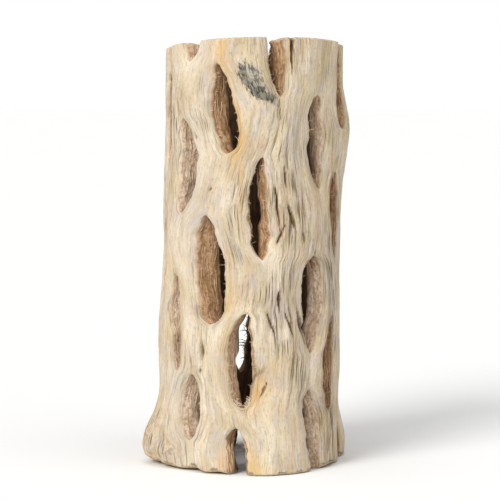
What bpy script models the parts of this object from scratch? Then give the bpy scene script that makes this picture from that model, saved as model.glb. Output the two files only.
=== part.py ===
"""Cholla cactus skeleton: a sawn section of the dry, hollow stem wood of a cholla cactus.

The wood is one piece. It grew as a tube of strands that part and join again round lens-shaped windows,
one where each tubercle of the living plant stood. It stands on its lower saw cut. Units are metres, +Z is
up, and the origin is under the middle of the piece, on the plane of the lower saw cut.

The tube is modelled as a lattice of upright grain columns. Each window is a slit in one column, and the
grain beside it is pushed aside by half the window's width, less and less with distance, as wood grows
round a knot. A point of the lattice is placed by its grain column, its height and its side of the slit.
"""

import math
import random
from typing import NamedTuple

import bmesh
import bpy

# Driving dimensions of the stem. The inner face follows this share of the outer one's ups and downs
HEIGHT = 0.150
OUTER_RADIUS = 0.0312
WALL = 0.0076
FOOT_FLARE = 0.0010
LOPSIDED = 0.0011
INNER_FOLLOW = 0.4

# Where the stem's own axis stands: the knobs at the foot reach further to one side
AXIS_X = 0.0034
AXIS_Y = 0.0

# The upper saw cut: its height on the stem's axis, its rise per metre along X and Y, and the height share
# from which the lattice is drawn up or down to it
TOP_CENTRE = 0.1456
TOP_RISE_X = 0.031
TOP_RISE_Y = -0.125
TOP_BLEND_FROM = 0.70

# The lattice that the wood is modelled on: upright grain columns, and rows along the stem
COLUMNS = 64
ROWS = 36

# How far round the stem a window pushes the grain aside, and carries it along with its own slant
GRAIN_REACH = 0.0080
SLANT_REACH = 0.0110

# A window's outline is a lens (1 - t^2)^p, which is pointed at p = 1 and an ellipse at p = 0.5
LENS_POWER = 0.65
TIP_CLEARANCE = 0.35

# How the wood rounds over at a window's rim, on the outside and in the hollow
RIM_DROP = 0.0014
RIM_REACH = 0.0030
INNER_RIM_RISE = 0.0012

# How far past its tips a window is still felt, in half lengths, and how sharply that ends
FURROW_REACH = 1.25
SLANT_REACH_ALONG = 1.5
END_POWER = 6


class Window(NamedTuple):
    """One lens-shaped opening through the wall.

    angle is in degrees round the stem, 0 at the front (-Y) and growing towards +X. lean is the sideways
    travel per unit of height, bow is how far the middle stands to the side of the tips, and belly widens
    the upper half where it is positive and the lower half where it is negative. inner_shift moves the
    mouth on the hollow's side sideways, and inner_share is that mouth's width against the outer one's.
    """

    angle: float
    height: float
    half_width: float
    half_length: float
    lean: float = 0.0
    bow: float = 0.0
    belly: float = 0.0
    inner_shift: float = 0.0
    inner_share: float = 0.85


# The windows of the front, placed one by one from the top down. The last two open at the foot
FRONT_WINDOWS = (
    Window(-43.2, 0.1520, 0.0036, 0.0094, 0.020, inner_shift=0.0024, inner_share=0.4),
    Window(14.0, 0.1500, 0.0038, 0.0206, -0.080, inner_shift=-0.0034, inner_share=0.2),
    Window(-22.6, 0.1258, 0.0044, 0.0160, -0.095, 0.0006, -0.30, inner_shift=0.0028, inner_share=0.65),
    Window(49.5, 0.1138, 0.0043, 0.0166, -0.010, -0.0019, 0.15, inner_shift=-0.0010),
    Window(-52.8, 0.1056, 0.0043, 0.0170, 0.030, 0.0026, -0.10, inner_shift=0.0022, inner_share=0.7),
    Window(3.4, 0.0912, 0.0038, 0.0176, -0.010, -0.0009, -0.25, inner_shift=-0.0026, inner_share=0.6),
    Window(-30.6, 0.0702, 0.0061, 0.0188, -0.050, 0.0, -0.22, inner_shift=0.0046, inner_share=0.5),
    Window(43.0, 0.0575, 0.0060, 0.0168, 0.010, -0.0006, 0.40, inner_shift=-0.0030, inner_share=0.65),
    Window(-59.4, 0.0511, 0.0027, 0.0172, 0.010),
    Window(-8.4, 0.0392, 0.0052, 0.0164, 0.0, -0.0006, -0.05, inner_share=0.65),
    Window(-45.4, 0.0222, 0.0038, 0.0119, 0.030, -0.0004, inner_shift=0.0018, inner_share=0.7),
    Window(-12.2, 0.0020, 0.0036, 0.0144, 0.0, 0.0, 0.30, inner_shift=0.0005, inner_share=0.75),
    Window(42.5, 0.0125, 0.0042, 0.0164, -0.120, 0.0, 0.20, inner_shift=-0.0022, inner_share=0.55),
)

# Windows of the back that are placed one by one from the top down. Light falls through the last two, one
# of them a notch in the foot, to a window and a notch of the front
BACK_WINDOWS = (
    Window(213.0, 0.1325, 0.0042, 0.0125, 0.050),
    Window(203.5, 0.0885, 0.0043, 0.0160, 0.060, 0.0, 0.10),
    Window(194.5, 0.0445, 0.0050, 0.0175, 0.020, inner_share=0.9),
    Window(188.5, 0.0000, 0.0042, 0.0140, inner_share=1.0),
)

# The columns of windows round the sides and back: angle at mid height, and height of the lowest window
SIDE_COLUMNS = (
    (69.0, 0.036),
    (100.0, 0.011),
    (131.0, 0.038),
    (164.0, 0.016),
    (227.0, 0.019),
    (254.0, 0.046),
    (281.0, 0.024),
)

# Up each column: distance between windows, turn in degrees per metre, and how far past the upper cut one
# may still be centred. The draws below vary each window between the two values of a pair
COLUMN_PITCH = 0.051
COLUMN_TWIST = 120.0
PAST_THE_CUT = 0.008
SIDE_SEED = 11
ANGLE_VARIES = (-1.5, 1.5)
HEIGHT_VARIES = (-0.002, 0.002)
HALF_WIDTHS = (0.0037, 0.0050)
HALF_LENGTHS = (0.0150, 0.0185)
LEANS = (0.0, 0.11)
BOWS = (-0.0010, 0.0010)
BELLIES = (-0.30, 0.30)


class Lobe(NamedTuple):
    """One wave of the stem's outline: waves a turn, height, where it starts, and its twist per metre."""

    waves: int
    proud: float
    start: float
    twist: float


LOBES = (
    Lobe(2, 0.0007, 0.6, 14.0),
    Lobe(3, 0.0005, -1.0, -22.0),
)


class Knob(NamedTuple):
    """A rounded swelling: where its middle is, how far it stands out, its reach round and along the stem.
    One that stands out by less than nothing is a hollow scooped in the strand."""

    angle: float
    height: float
    proud: float
    reach_round: float
    reach_along: float


KNOBS = (
    Knob(-78.0, 0.006, 0.0078, 0.0105, 0.0125),
    Knob(2.5, 0.0320, -0.0038, 0.0045, 0.0088),
    Knob(22.0, 0.080, 0.0010, 0.0080, 0.0300),
    Knob(84.0, 0.118, 0.0022, 0.0100, 0.0140),
    Knob(148.0, 0.052, 0.0018, 0.0110, 0.0180),
    Knob(212.0, 0.110, 0.0024, 0.0095, 0.0150),
    Knob(118.0, 0.004, 0.0038, 0.0130, 0.0120),
    Knob(240.0, 0.010, 0.0026, 0.0110, 0.0140),
)

# Sawn, sun-bleached wood
WOOD_COLOUR = (0.73, 0.60, 0.42, 1.0)
WOOD_ROUGHNESS = 0.85
SMOOTH_ANGLE = math.radians(40.0)


def side_windows():
    """The windows of the sides and back, a loop up each column with a little seeded irregularity."""
    draw = random.Random(SIDE_SEED)
    windows = []
    for middle_angle, lowest in SIDE_COLUMNS:
        height = lowest
        while height < HEIGHT + PAST_THE_CUT:
            turned = middle_angle + COLUMN_TWIST * (height - HEIGHT / 2)
            windows.append(
                Window(
                    angle=turned + draw.uniform(*ANGLE_VARIES),
                    height=height + draw.uniform(*HEIGHT_VARIES),
                    half_width=draw.uniform(*HALF_WIDTHS),
                    half_length=draw.uniform(*HALF_LENGTHS),
                    lean=draw.uniform(*LEANS),
                    bow=draw.uniform(*BOWS),
                    belly=draw.uniform(*BELLIES),
                )
            )
            height += COLUMN_PITCH
    return windows


WINDOWS = (*FRONT_WINDOWS, *BACK_WINDOWS, *side_windows())
GIRTH = 2 * math.pi * OUTER_RADIUS
COLUMN_WIDTH = GIRTH / COLUMNS
ROW_HEIGHT = HEIGHT / ROWS


def wrapped(distance):
    """A distance round the stem, taken the short way."""
    return (distance + GIRTH / 2) % GIRTH - GIRTH / 2


def column_of(window):
    """The grain column that parts to make this window."""
    return round(math.radians(window.angle) * OUTER_RADIUS / COLUMN_WIDTH) % COLUMNS


def row_of(height):
    """The row of the lattice at this height."""
    return round(height / ROW_HEIGHT)


def share_along(window, height):
    """-1 at the window's lower tip, 0 at its middle, 1 at its upper tip."""
    return (height - window.height) / window.half_length


def half_opening(window, height):
    """Half the window's width at this height: a lens, wider on its belly's side."""
    t = share_along(window, height)
    if abs(t) >= 1:
        return 0.0
    return window.half_width * (1 - t * t) ** LENS_POWER * (1 + window.belly * t)


def nearness_along(window, height, reach):
    """1 along the window, falling smoothly to 0 past its tips."""
    return 1 / (1 + (share_along(window, height) / reach) ** END_POWER)


def arc_of(grain, height, side, inner):
    """Where a grain line lies round the stem, in metres of outer girth, as the windows push it aside."""
    arc = grain
    for window in WINDOWS:
        slit = column_of(window) * COLUMN_WIDTH
        away = wrapped(grain - slit)
        sign = side if abs(away) < COLUMN_WIDTH / 2 else math.copysign(1, away)
        share = window.inner_share if inner else 1.0
        arc += sign * share * half_opening(window, height) * math.exp(-abs(away) / GRAIN_REACH)
        t = share_along(window, height)
        slant = wrapped(math.radians(window.angle) * OUTER_RADIUS - slit)
        slant += window.lean * (height - window.height) + window.bow * (1 - t * t)
        if inner:
            slant += window.inner_shift
        near = nearness_along(window, height, SLANT_REACH_ALONG)
        arc += slant * near * math.exp(-((away / SLANT_REACH) ** 2))
    return arc


def rim_share(grain, height):
    """1 at a window's rim, falling to 0 in the middle of a strand and a little way past its tips."""
    share = 0.0
    for window in WINDOWS:
        away = abs(wrapped(grain - column_of(window) * COLUMN_WIDTH))
        share = max(share, nearness_along(window, height, FURROW_REACH) * math.exp(-away / RIM_REACH))
    return share


def stem_radius(angle, height):
    """The stem's outer radius before its windows shape it: flared at the foot, lobed, and with its knobs."""
    radius = OUTER_RADIUS + FOOT_FLARE * (1 - height / HEIGHT) - LOPSIDED * math.sin(angle)
    for lobe in LOBES:
        radius += lobe.proud * math.cos(lobe.waves * angle + lobe.start + lobe.twist * height)
    for knob in KNOBS:
        round_stem = wrapped((angle - math.radians(knob.angle)) * OUTER_RADIUS) / knob.reach_round
        along_stem = (height - knob.height) / knob.reach_along
        radius += knob.proud * math.exp(-(round_stem**2) - along_stem**2)
    return radius


def top_cut(x, y):
    """The height of the upper saw cut, x and y away from the stem's axis."""
    return TOP_CENTRE + TOP_RISE_X * x + TOP_RISE_Y * y


def top_blend(height):
    """0 below the top of the stem, growing smoothly to 1 at the upper saw cut."""
    share = max(0.0, (height / HEIGHT - TOP_BLEND_FROM) / (1 - TOP_BLEND_FROM))
    return share * share * (3 - 2 * share)


def place_of(column, height, side, inner):
    """The place of one lattice point, on the outer face or on the hollow's."""
    grain = column * COLUMN_WIDTH
    angle = arc_of(grain, height, side, inner) / OUTER_RADIUS
    rim = rim_share(grain, height)
    radius = stem_radius(angle, height)
    if inner:
        radius = OUTER_RADIUS - WALL + INNER_FOLLOW * (radius - OUTER_RADIUS) + INNER_RIM_RISE * rim
    else:
        radius -= RIM_DROP * rim
    x = radius * math.sin(angle)
    y = -radius * math.cos(angle)
    return AXIS_X + x, AXIS_Y + y, height + (top_cut(x, y) - HEIGHT) * top_blend(height)


def make_lattice(bm):
    """A plain tube of four-sided faces, each point marked with its column and its height."""
    bmesh.ops.create_cone(bm, cap_ends=False, segments=COLUMNS, radius1=1, radius2=1, depth=1)
    uprights = [e for e in bm.edges if abs(e.verts[0].co.z - e.verts[1].co.z) > 0.5]
    bmesh.ops.subdivide_edges(bm, edges=uprights, cuts=ROWS - 1, use_grid_fill=True)
    columns = bm.verts.layers.int.new("column")
    heights = bm.verts.layers.float.new("height")
    for vert in bm.verts:
        turn = math.atan2(vert.co.x, -vert.co.y) / (2 * math.pi)
        vert[columns] = round(turn * COLUMNS) % COLUMNS
        vert[heights] = (vert.co.z + 0.5) * HEIGHT
    return columns, heights


def open_rows(window):
    """The first and last rows that the window parts. The row past each is the window's closed tip."""
    reach = window.half_length - TIP_CLEARANCE * ROW_HEIGHT
    first, last = 0, ROWS
    if window.height > window.half_length:
        first = max(2, math.ceil((window.height - reach) / ROW_HEIGHT))
    if window.height + window.half_length < HEIGHT:
        last = min(ROWS - 2, math.floor((window.height + reach) / ROW_HEIGHT))
    return first, last


def part_grain(bm, columns, heights):
    """Slits the lattice along each window's column, and draws the point at each closed tip to its height."""
    slits = set()
    tips = {}
    for window in WINDOWS:
        column = column_of(window)
        first, last = open_rows(window)
        for edge in bm.edges:
            low, high = sorted(row_of(end[heights]) for end in edge.verts)
            if all(end[columns] == column for end in edge.verts) and high >= first and low <= last:
                slits.add(edge)
        tips[column, first - 1] = max(window.height - window.half_length, ROW_HEIGHT / 2)
        tips[column, last + 1] = min(window.height + window.half_length, HEIGHT - ROW_HEIGHT / 2)
    bmesh.ops.split_edges(bm, edges=list(slits))
    for vert in bm.verts:
        vert[heights] = tips.get((vert[columns], row_of(vert[heights])), vert[heights])


def mark_sides(bm, columns):
    """Marks each point of a slit with its wood's side: 1 at the higher columns, -1 at the lower ones."""
    sides = bm.verts.layers.int.new("side")
    for vert in bm.verts:
        away = {other[columns] - vert[columns] for face in vert.link_faces for other in face.verts}
        away = {(step + COLUMNS // 2) % COLUMNS - COLUMNS // 2 for step in away} - {0}
        vert[sides] = away.pop() if len(away) == 1 else 0
    return sides


def make_wood():
    """The whole piece: the slit lattice, extruded to the hollow's face, then every point put in place."""
    bm = bmesh.new()
    columns, heights = make_lattice(bm)
    part_grain(bm, columns, heights)
    sides = mark_sides(bm, columns)
    made = bmesh.ops.extrude_face_region(bm, geom=bm.faces[:], use_keep_orig=True)
    inner = {item for item in made["geom"] if isinstance(item, bmesh.types.BMVert)}
    for vert in bm.verts:
        vert.co = place_of(vert[columns], vert[heights], vert[sides], vert in inner)
    bmesh.ops.recalc_face_normals(bm, faces=bm.faces[:])
    mesh = bpy.data.meshes.new("wood_skeleton")
    bm.to_mesh(mesh)
    bm.free()
    mesh.shade_smooth()
    mesh.set_sharp_from_angle(angle=SMOOTH_ANGLE)
    return mesh


def make_wood_material():
    """Pale, dry, matt wood."""
    material = bpy.data.materials.new("dry_cholla_wood")
    material.use_nodes = True
    shader = material.node_tree.nodes["Principled BSDF"]
    shader.inputs["Base Color"].default_value = WOOD_COLOUR
    shader.inputs["Roughness"].default_value = WOOD_ROUGHNESS
    return material


def main():
    """Clears the scene and puts the finished piece in its own collection."""
    for obj in list(bpy.data.objects):
        bpy.data.objects.remove(obj)
    collection = bpy.data.collections.new("cholla_cactus_skeleton")
    bpy.context.scene.collection.children.link(collection)
    wood = bpy.data.objects.new("wood_skeleton", make_wood())
    wood.data.materials.append(make_wood_material())
    collection.objects.link(wood)


main()
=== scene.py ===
"""Cholla cactus skeleton: the looks of the piece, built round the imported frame.

Lengths are in metres, +Z is up, and the side that the camera sees is -Y.
"""

import math
import random
from typing import NamedTuple

import bpy
import numpy as np
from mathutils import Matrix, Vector


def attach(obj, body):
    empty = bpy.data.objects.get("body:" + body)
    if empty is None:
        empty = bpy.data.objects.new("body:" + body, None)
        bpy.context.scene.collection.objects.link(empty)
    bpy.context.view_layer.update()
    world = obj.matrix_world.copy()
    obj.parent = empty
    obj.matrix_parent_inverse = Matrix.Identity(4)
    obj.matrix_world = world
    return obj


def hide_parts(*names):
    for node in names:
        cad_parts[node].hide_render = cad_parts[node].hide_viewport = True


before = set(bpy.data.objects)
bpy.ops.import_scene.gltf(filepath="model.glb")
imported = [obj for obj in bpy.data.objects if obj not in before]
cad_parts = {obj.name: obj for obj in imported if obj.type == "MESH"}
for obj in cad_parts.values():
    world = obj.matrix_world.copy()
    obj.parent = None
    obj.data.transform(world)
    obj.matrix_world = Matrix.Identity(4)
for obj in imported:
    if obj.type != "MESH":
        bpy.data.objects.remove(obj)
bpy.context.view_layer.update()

# The stem wood: shape
# One sawn length of the dry, hollow trunk of a cholla cactus. It grew as a tube of woody strands that part
# and join again round a window for each tubercle, so it is one piece with nothing fixed to it. It is made
# on the same grain lattice as the solid that it stands for, several times finer.

# The stem's length, radius, wall, flare, lopsidedness, and how far its hollow follows it. Then its middle,
# the slanting upper cut, the grain lines and how far windows push them, and the shape of windows and rims
HEIGHT = 0.15
OUTER_RADIUS = 0.0312
WALL = 0.0076
FOOT_FLARE = 0.001
LOPSIDED = 0.0011
INNER_FOLLOW = 0.4
AXIS_X = 0.0034
TOP_CENTRE = 0.1456
TOP_RISE_X = 0.031
TOP_RISE_Y = -0.125
TOP_BLEND_FROM = 0.7
SLIT_COLUMNS = 64
GRAIN_REACH = 0.008
SLANT_REACH = 0.011
LENS_POWER = 0.55
RIM_DROP = 0.0014
RIM_REACH = 0.003
INNER_RIM_RISE = 0.0012
FURROW_REACH = 1.25
SLANT_REACH_ALONG = 1.5
END_POWER = 6


class Window(NamedTuple):
    """One opening: its angle in degrees and its height, half width and half length, the slant of its middle
    line, how far that bows, the half that is wider, and the shift and share of its mouth in the hollow."""

    angle: float
    height: float
    half_width: float
    half_length: float
    lean: float = 0.0
    bow: float = 0.0
    belly: float = 0.0
    inner_shift: float = 0.0
    inner_share: float = 0.85


FRONT_WINDOWS = (
    Window(-43.2, 0.152, 0.0036, 0.0094, 0.02, 0, 0, 0.0024, 0.4),
    Window(14, 0.15, 0.0038, 0.0206, -0.08, 0, 0, -0.0034, 0.2),
    Window(-22.6, 0.1258, 0.0044, 0.016, -0.095, 0.0006, -0.3, 0.0028, 0.65),
    Window(49.5, 0.1138, 0.0043, 0.0166, -0.01, -0.0019, 0.15, -0.001),
    Window(-52.8, 0.1056, 0.0043, 0.017, 0.03, 0.0026, -0.1, 0.0022, 0.7),
    Window(3.4, 0.0912, 0.0038, 0.0176, -0.01, -0.0009, -0.25, -0.0026, 0.6),
    Window(-30.6, 0.0702, 0.0061, 0.0188, -0.05, 0, -0.22, 0.0046, 0.5),
    Window(43, 0.0575, 0.006, 0.0168, 0.01, -0.0006, 0.4, -0.003, 0.65),
    Window(-59.4, 0.0511, 0.0027, 0.0172, 0.01),
    Window(-8.4, 0.0392, 0.0052, 0.0164, 0, -0.0006, -0.05, 0, 0.65),
    Window(-45.4, 0.0222, 0.0038, 0.0119, 0.03, -0.0004, 0, 0.0018, 0.7),
    Window(-12.2, 0.002, 0.0036, 0.0144, 0, 0, 0.46, 0.0005, 0.75),
    Window(42.5, 0.0125, 0.0042, 0.0164, -0.12, 0, 0.2, -0.0022, 0.55),
)
BACK_WINDOWS = (
    Window(213, 0.1325, 0.0042, 0.0125, 0.05),
    Window(203.5, 0.0885, 0.0043, 0.016, 0.06, 0, 0.1),
    Window(194.5, 0.0445, 0.005, 0.0175, 0.02, 0, 0, 0, 0.9),
    Window(188.5, 0, 0.0042, 0.014, 0, 0, 0, 0, 1),
)

# Up each column of the sides and back: the angle at mid height and the lowest window. Then what all share,
# and the limits between which each window's fields are drawn, in their own order
SIDE_COLUMNS = (
    (69, 0.036),
    (100, 0.011),
    (131, 0.038),
    (164, 0.016),
    (227, 0.019),
    (254, 0.046),
    (281, 0.024),
)
COLUMN_PITCH = 0.051
COLUMN_TWIST = 120
PAST_THE_CUT = 0.008
SIDE_SEED = 11
PLACE_VARIES = ((-1.5, 1.5), (-0.002, 0.002))
SHAPE_VARIES = ((0.0037, 0.005), (0.015, 0.0185), (0.0, 0.11), (-0.001, 0.001), (-0.3, 0.3))

# Waves a turn, height, start and twist. Then each knob's angle, height, reach round and along, and size
LOBES = ((2, 0.0007, 0.6, 14.0), (3, 0.0005, -1.0, -22.0))
KNOBS = (
    (-78, 0.006, 0.0105, 0.0125, 0.0067),
    (-86, 0.026, 0.0145, 0.04, 0.0021),
    (-80, 0.128, 0.018, 0.038, -0.0008),
    (2.5, 0.032, 0.0045, 0.0088, -0.0038),
    (22, 0.08, 0.008, 0.03, 0.001),
    (84, 0.118, 0.01, 0.014, 0.0022),
    (148, 0.052, 0.011, 0.018, 0.0018),
    (212, 0.11, 0.0095, 0.015, 0.0024),
    (118, 0.004, 0.013, 0.012, 0.0038),
    (240, 0.01, 0.011, 0.014, 0.0026),
)


def side_windows():
    """The windows of the sides and back: a loop up each column, each window varied by seeded draws."""
    draw = random.Random(SIDE_SEED)
    windows = []
    for middle_angle, lowest in SIDE_COLUMNS:
        height = lowest
        while height < HEIGHT + PAST_THE_CUT:
            turned = middle_angle + COLUMN_TWIST * (height - HEIGHT / 2)
            off_angle, off_height = [draw.uniform(*limits) for limits in PLACE_VARIES]
            shape = [draw.uniform(*limits) for limits in SHAPE_VARIES]
            windows.append(Window(turned + off_angle, height + off_height, *shape))
            height += COLUMN_PITCH
    return windows


WINDOWS = (*FRONT_WINDOWS, *BACK_WINDOWS, *side_windows())
GIRTH = 2 * math.pi * OUTER_RADIUS
SLIT_SPACING = GIRTH / SLIT_COLUMNS
ON_SLIT = SLIT_SPACING / 16


def wrapped(distance):
    """A distance round the stem, taken the short way."""
    return (distance + GIRTH / 2) % GIRTH - GIRTH / 2


def slit_of(window):
    """The grain line, in metres round the stem, that parts to make this window."""
    return round(math.radians(window.angle) * OUTER_RADIUS / SLIT_SPACING) % SLIT_COLUMNS * SLIT_SPACING


def round_from(arc, angle):
    """How far round the stem a place lies from an angle in degrees."""
    return wrapped(arc - math.radians(angle) * OUTER_RADIUS)


def smooth(share):
    """0 below 0, 1 above 1, and 3s^2 - 2s^3 between them."""
    share = np.clip(share, 0, 1)
    return share * share * (3 - 2 * share)


# Rows of random slopes that a noise can use, the row at height 0, and what brings its hills to about 1
NOISE_ROWS = 512
NOISE_START = 64
NOISE_GAIN = 1.4


def hills(across, along, cell_across, cell_along, seed):
    """Gradient noise from about -1 to 1 that closes on itself round the stem: at each corner of a grid of
    cells a random slope, and between corners their planes blended by 6s^5 - 15s^4 + 10s^3."""
    turns = max(3, round(GIRTH / cell_across))
    u = across / GIRTH * turns
    v = along / cell_along + NOISE_START
    i, j = np.floor(u).astype(int), np.floor(v).astype(int)
    u, v = u - i, v - j
    slopes = np.random.default_rng(seed).uniform(0, 2 * math.pi, (turns, NOISE_ROWS))

    def corner(right, up):
        slope = slopes[(i + right) % turns, (j + up) % NOISE_ROWS]
        return np.cos(slope) * (u - right) + np.sin(slope) * (v - up)

    ease_u, ease_v = [s * s * s * (s * (s * 6 - 15) + 10) for s in (u, v)]
    low = corner(0, 0) + (corner(1, 0) - corner(0, 0)) * ease_u
    high = corner(0, 1) + (corner(1, 1) - corner(0, 1)) * ease_u
    return NOISE_GAIN * (low + (high - low) * ease_v)


def oval(arc, height, angle, at_height, reach_round, reach_along, slope=0.0):
    """How far out a place lies in a slanting oval on the stem, 0 in its middle and 1 on its edge."""
    along = height - at_height
    return np.hypot((round_from(arc, angle) - slope * along) / reach_round, along / reach_along)


def spot(*place):
    """A soft-edged oval on the stem: exp(-r^2)."""
    return np.exp(-(oval(*place) ** 2))


def half_opening(window, height):
    """Half the window's width: a lens (1 - t^2)^p from tip to tip, wider on its belly's side."""
    t = (height - window.height) / window.half_length
    lens = np.clip(1 - t * t, 0, 1) ** LENS_POWER
    return window.half_width * lens * (1 + window.belly * t)


def nearness_along(window, height, reach):
    """1 along the window, falling smoothly to 0 past its tips."""
    return 1 / (1 + ((height - window.height) / window.half_length / reach) ** END_POWER)


# How a rim wanders: the length along the grain and the size of each layer, their width, how far they are
# felt, and how soon they fade towards a tip. The tracks are where windows and their sides read the noise.
# Then the worn edge of a rim, the swell of a window's wall, and its cords by width, length and size
RAGGED_LAYERS = ((0.012, 0.0013), (0.0058, 0.0009), (0.0027, 0.00065))
RAGGED_WIDTH = 0.004
RAGGED_REACH = 0.0014
RAGGED_LIMIT = 5 * RAGGED_REACH
RAGGED_FADE = 1.6
TRACK_OF_WINDOW = 0.0131
TRACK_OF_SIDE = 0.0057
RIM_WEAR = 0.00016
RIM_WEAR_DEPTH = 0.05
WALL_SWELL = 0.0004
WALL_CORDS = ((0.0046, 0.013, 0.0008), (0.0022, 0.007, 0.0005))


def near_edges(depth):
    """1 at the outer and the inner edge of the wall, falling off by exp(-distance) between them."""
    return np.exp(-depth / RIM_WEAR_DEPTH) + np.exp((depth - 1) / RIM_WEAR_DEPTH)


def ragged(number, sign, height, depth):
    """How far the wood beside a slit stands back from the window's smooth outline: noise along the grain
    that changes from the outer edge to the inner one, a worn edge, and cords on the wall between."""
    track = number * TRACK_OF_WINDOW + TRACK_OF_SIDE * sign
    middle = 4 * depth * (1 - depth)
    back = RIM_WEAR * near_edges(depth) - WALL_SWELL * middle
    for cell, size in RAGGED_LAYERS:
        outer = hills(track, height, RAGGED_WIDTH, cell, 31)
        inner = hills(track, height, RAGGED_WIDTH, cell, 32)
        back = back + size * (outer + (inner - outer) * depth)
    for across, along, size in WALL_CORDS:
        back = back + middle * size * hills(track + depth * WALL, height, across, along, 33)
    return back


def arc_of(grain, height, side, depth):
    """Where a grain line lies round the stem: each window pushes it aside by its half opening, less by
    exp(-distance), carries it along with its slant, and leaves the wood beside it ragged."""
    arc = grain.copy()
    for number, window in enumerate(WINDOWS):
        away = wrapped(grain - slit_of(window))
        on_slit = np.abs(away) < ON_SLIT
        sign = np.where(on_slit, side, np.sign(away))
        half = half_opening(window, height)
        share = 1 + (window.inner_share - 1) * depth
        arc += sign * share * half * np.exp(-np.abs(away) / GRAIN_REACH)
        t = (height - window.height) / window.half_length
        slant = wrapped(math.radians(window.angle) * OUTER_RADIUS - slit_of(window))
        slant = slant + window.lean * (height - window.height) + window.bow * (1 - t * t)
        slant = slant + window.inner_shift * depth
        near = nearness_along(window, height, SLANT_REACH_ALONG)
        arc += slant * near * np.exp(-((away / SLANT_REACH) ** 2))
        beside = (half > 0) & (np.abs(away) < RAGGED_LIMIT)
        back = ragged(number, sign[beside], height[beside], depth[beside])
        back = back * smooth(half[beside] / window.half_width * RAGGED_FADE)
        arc[beside] += sign[beside] * back * np.exp(-np.abs(away[beside]) / RAGGED_REACH)
    return arc


def rim_share(grain, height):
    """1 at a window's rim, falling to 0 in the middle of a strand and a little way past the tips."""
    share = np.zeros_like(grain)
    for window in WINDOWS:
        away = np.abs(wrapped(grain - slit_of(window)))
        near = nearness_along(window, height, FURROW_REACH)
        share = np.maximum(share, near * np.exp(-away / RIM_REACH))
    return share


# How the grain lines wander, in size and in the cells of each layer's noise
WANDERS = ((0.0012, 0.01, 0.022), (0.0004, 0.0034, 0.008))

# The wood's relief by width across the grain, length along it, and height: smooth swells, round cords with
# sharp valleys between them, and the grit of dry fibre. It is sunk a little, so that its crests stay inside
# the solid's outline, and is weaker at rims and knots
SWELL = (0.0085, 0.024, 0.00045)
CORDS = ((0.0036, 0.032, 0.00042), (0.002, 0.02, 0.00032))
GRIT = (0.0013, 0.005, 0.00008)
# How wide, in noise values, the painted shade in the valleys between cords is
VALLEY_SHADE_WIDTH = 0.16
CORD_MEAN = 0.6
SMOOTH_STRENGTH = 0.2
RELIEF_SINKS = 0.00042
RELIEF_LOST_AT_KNOT = 0.7
RELIEF_LOST_AT_RIM = 0.45
RELIEF_IN_HOLLOW = 0.6

# Flakes: low steps where the outermost wood has weathered away, with an edge between two noise values
FLAKE_CELL = (0.005, 0.026)
FLAKE_STEP = 0.00014
FLAKE_EDGE = (0.1, 0.2)

# Rough places, where the cords are deep and cracks crowd: angle, height, reach round and along, and gain,
# on top of a mean and a broad noise
ROUGH_CELL = (0.014, 0.027)
ROUGH_MEAN = 0.22
ROUGH_NOISE = 0.6
ROUGH_PLACES = (
    (15, 0.057, 0.0065, 0.014, 1.1),
    (21, 0.092, 0.007, 0.018, 0.9),
    (27, 0.035, 0.005, 0.01, 0.8),
    (60, 0.09, 0.005, 0.03, 0.7),
    (60, 0.03, 0.007, 0.03, 0.6),
    (-12, 0.098, 0.004, 0.013, 0.5),
    (-62, 0.118, 0.006, 0.02, 0.4),
    (-66, 0.009, 0.009, 0.008, 0.5),
    (5, 0.075, 0.005, 0.008, -0.9),
    (24, 0.014, 0.005, 0.014, -0.6),
    (-28, 0.096, 0.005, 0.008, -0.6),
    (150, 0.1, 0.008, 0.02, 0.7),
    (240, 0.07, 0.008, 0.022, 0.7),
)

# Single cracks that show from a step away: angle, lower and upper end, half width, lean, and where each is
# widest, from -1 at its lower end to 1 at its upper one. A crack is as deep as its half width squared times
# CRACK_DEPTH, and it wanders by a noise of this width, length and size
OPEN_CRACKS = (
    (25.6, 0.135, 0.156, 0.00062, 0.01, 0.6),
    (-35.4, 0.0385, 0.0465, 0.00064, 0, 0),
    (-36.6, 0.0338, 0.0371, 0.0004, 0, 0),
    (31.6, 0.042, 0.0572, 0.0008, -0.34, 0.5),
    (45.4, 0.0692, 0.0762, 0.00058, -0.45, 0),
    (23.4, 0.0842, 0.0945, 0.00055, -0.28, -0.3),
    (14.2, 0.084, 0.099, 0.00042, -0.1, 0),
    (15.9, 0.078, 0.0862, 0.0004, 0.42, 0.2),
    (32.6, 0.079, 0.0838, 0.00036, -0.4, 0),
    (14.7, 0.056, 0.0636, 0.00052, 0, 0.3),
    (9.2, 0.0478, 0.0574, 0.00046, -0.36, -0.2),
    (22, 0.0468, 0.0556, 0.00042, -0.38, 0),
    (16.6, 0.12, 0.1288, 0.00024, 0, 0.3),
    (4.8, 0.0245, 0.0322, 0.00045, 0.48, 0.6),
    (19.6, 0.0976, 0.1058, 0.00036, -0.14, 0),
    (-39.8, 0.115, 0.1168, 0.0005, 0, 0),
    (-29.2, 0.0968, 0.0982, 0.00045, 0, 0),
    (148, 0.09, 0.106, 0.0006, 0.05, 0),
    (243, 0.06, 0.078, 0.0006, -0.08, 0.2),
)
CRACK_DEPTH = 6000
CRACK_WANDER = (0.004, 0.0036, 0.00034)

# Scoops, where a strand end has broken out: angle, height, reach round and along, slope, and depth. Then how
# steep their edge is
SCOOPS = (
    (-0.6, 0.0288, 0.0034, 0.008, 0.42, 0.0017),
    (-56, 0.061, 0.0018, 0.0085, 0, 0.0012),
    (-69, 0.002, 0.003, 0.0026, 0, 0.0012),
    (34, 0.048, 0.0014, 0.006, -0.4, 0.0008),
    (128, 0.118, 0.004, 0.01, 0.2, 0.0014),
    (236, 0.034, 0.004, 0.009, -0.2, 0.0014),
)
SCOOP_EDGE = 4.5

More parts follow.
